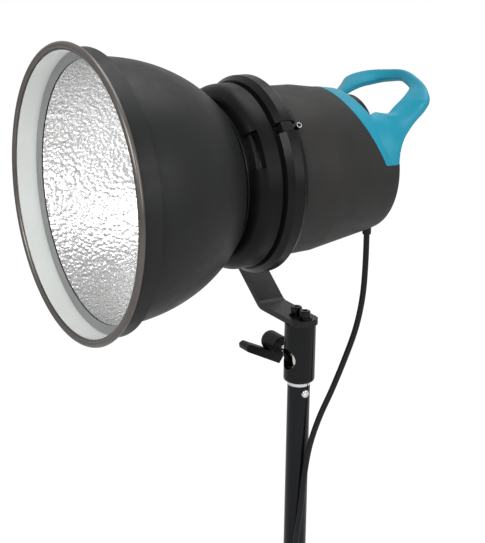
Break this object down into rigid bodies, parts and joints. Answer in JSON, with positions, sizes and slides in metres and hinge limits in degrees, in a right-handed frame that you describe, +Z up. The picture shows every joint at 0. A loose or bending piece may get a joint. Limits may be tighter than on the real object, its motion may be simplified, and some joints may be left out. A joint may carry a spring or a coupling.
{
  "type": "studio flash head",
  "caption": "Studio flash head with a dish reflector, carry handle, control panel and power cord, on a side yoke clamped to the top of a light stand.",
  "frame": {"origin": "centre of the stand post's lower end", "axes": "+Z up along the post, -Y the way the lamp faces, +X to the lamp's left as seen from the front"},
  "size_m": [0.226, 0.298, 0.583],
  "materials": {
    "dark_metal": "satin dark grey",
    "parts_dark": "transformer, heat sink and relays",
    "body_grey": "fine-textured dark grey",
    "black_plastic": "black moulded plastic",
    "steel": "zinc plated",
    "brass_pad": "turned",
    "chrome_metal": "polished chrome plating",
    "panel_grey": "fine-textured black",
    "cord_black": "satin rubber sheath",
    "print_white": "printed",
    "clear_glass": "clear heat-proof glass",
    "disc_rubber": "plain",
    "handle_blue": "semi-gloss blue",
    "ceramic": "unglazed ceramic",
    "board_green": "circuit board",
    "pot_metal": "pressed steel can",
    "lens_red": "clear red lens",
    "reflector_silver": "spun, dimpled silver inside, satin charcoal outside",
    "ring_gloss_black": "semi-gloss black",
    "button_grey": "soft-touch",
    "gloss_black_metal": "gloss black paint",
    "cast_dark": "satin black paint over casting",
    "yoke_black": "satin black paint"
  },
  "bodies": {
    "stand": {"stand_tube": "chrome_metal", "stand_spigot": "chrome_metal", "spigot_screw": "chrome_metal", "tube_end_plug": "black_plastic"},
    "yoke": {"yoke_arm": "yoke_black", "stand_socket": "gloss_black_metal", "socket_screws": "chrome_metal", "socket_washers": "chrome_metal", "friction_disc": "disc_rubber", "power_cord": "cord_black", "cord_coil": "cord_black", "cord_tie": "black_plastic", "mains_plug": "black_plastic"},
    "clamp_tip": {"clamp_pad": "brass_pad"},
    "clamp_lever": {"clamp_screw": "chrome_metal", "clamp_knob": "black_plastic"},
    "tilt_lock_knob": {"tilt_bolt": "chrome_metal", "tilt_knob": "black_plastic"},
    "reflector": {"reflector_shell": "reflector_silver", "reflector_neck_ring": "dark_metal", "reflector_rivets": "steel"},
    "release": {"release_slide": "black_plastic"},
    "power_knob": {"power_dial": "black_plastic"},
    "model_knob": {"model_dial": "black_plastic"},
    "test_key": {"test_button": "button_grey"},
    "slave_key": {"slave_button": "button_grey"},
    "sound_key": {"sound_button": "button_grey"},
    "rocker": {"rocker_switch": "black_plastic"},
    "fan": {"fan_rotor": "black_plastic"},
    "head": {"bayonet_ring": "dark_metal", "board_parts": "parts_dark", "body_shell": "body_grey", "cable_gland": "black_plastic", "capacitors": "steel", "chassis": "steel", "control_panel": "panel_grey", "dial_scale": "print_white", "fan_frame": "black_plastic", "flash_tube": "clear_glass", "front_collar": "black_plastic", "fuse_holder": "black_plastic", "glass_cover": "clear_glass", "handle": "handle_blue", "lamp_base": "ceramic", "lamp_socket": "ceramic", "main_board": "board_green", "model_pot": "pot_metal", "modelling_lamp": "clear_glass", "mount_plate": "steel", "panel_board": "board_green", "power_pot": "pot_metal", "ready_lamp": "lens_red", "rear_cover": "body_grey", "ring_band": "ring_gloss_black", "switch_bezel": "black_plastic", "sync_socket": "steel", "tilt_boss": "cast_dark"}
  },
  "joints": [
    {"name": "pan", "type": "hinge", "parent": "stand", "child": "yoke", "pos_m": [0, 0, 0.3], "axis": [0, 0, 1], "continuous": true},
    {"name": "tilt", "type": "hinge", "parent": "yoke", "child": "head", "pos_m": [0, 0, 0.47], "axis": [1, 0, 0], "range_deg": [-45, 35], "deforming": ["power_cord"]},
    {"name": "clamp_advance", "type": "slide", "parent": "yoke", "child": "clamp_tip", "axis": [-1, 0, 0], "range_m": [0, 0.0025]},
    {"name": "clamp_turn", "type": "hinge", "parent": "clamp_tip", "child": "clamp_lever", "pos_m": [-0.028, 0, 0.309], "axis": [-1, 0, 0], "range_deg": [0, 722]},
    {"name": "tilt_lock_turn", "type": "hinge", "parent": "yoke", "child": "tilt_lock_knob", "pos_m": [-0.095, 0, 0.47], "axis": [-1, 0, 0], "range_deg": [0, 360]},
    {"name": "reflector_twist", "type": "hinge", "parent": "head", "child": "reflector", "pos_m": [0, -0.08, 0.47], "axis": [0, 1, 0], "range_deg": [0, 22]},
    {"name": "release_pull", "type": "slide", "parent": "head", "child": "release", "axis": [0, 1, 0], "range_m": [0, 0.004], "stiffness_N_per_m": 300, "springref_m": -0.002},
    {"name": "power_turn", "type": "hinge", "parent": "head", "child": "power_knob", "pos_m": [0, 0.03806, 0.50344], "axis": [0, 0.9085, 0.4179], "range_deg": [-135, 135]},
    {"name": "model_turn", "type": "hinge", "parent": "head", "child": "model_knob", "pos_m": [-0.024, 0.0546, 0.456], "axis": [0, 1, 0], "range_deg": [-135, 135]},
    {"name": "test_press", "type": "slide", "parent": "head", "child": "test_key", "axis": [0, -1, 0], "range_m": [0, 0.0015], "stiffness_N_per_m": 400, "springref_m": -0.001},
    {"name": "slave_press", "type": "slide", "parent": "head", "child": "slave_key", "axis": [0, -1, 0], "range_m": [0, 0.0015], "stiffness_N_per_m": 400, "springref_m": -0.001},
    {"name": "sound_press", "type": "slide", "parent": "head", "child": "sound_key", "axis": [0, -1, 0], "range_m": [0, 0.0015], "stiffness_N_per_m": 400, "springref_m": -0.001},
    {"name": "rocker_tip", "type": "hinge", "parent": "head", "child": "rocker", "pos_m": [0.016, 0.0526, 0.436], "axis": [1, 0, 0], "range_deg": [-8, 8]},
    {"name": "fan_spin", "type": "hinge", "parent": "head", "child": "fan", "pos_m": [0, 0, 0.4635], "axis": [0, 1, 0], "continuous": true}
  ],
  "couplings": [
    {"joint": "clamp_turn", "follows": "clamp_advance", "rad_per_m": 5026.5}
  ]
}
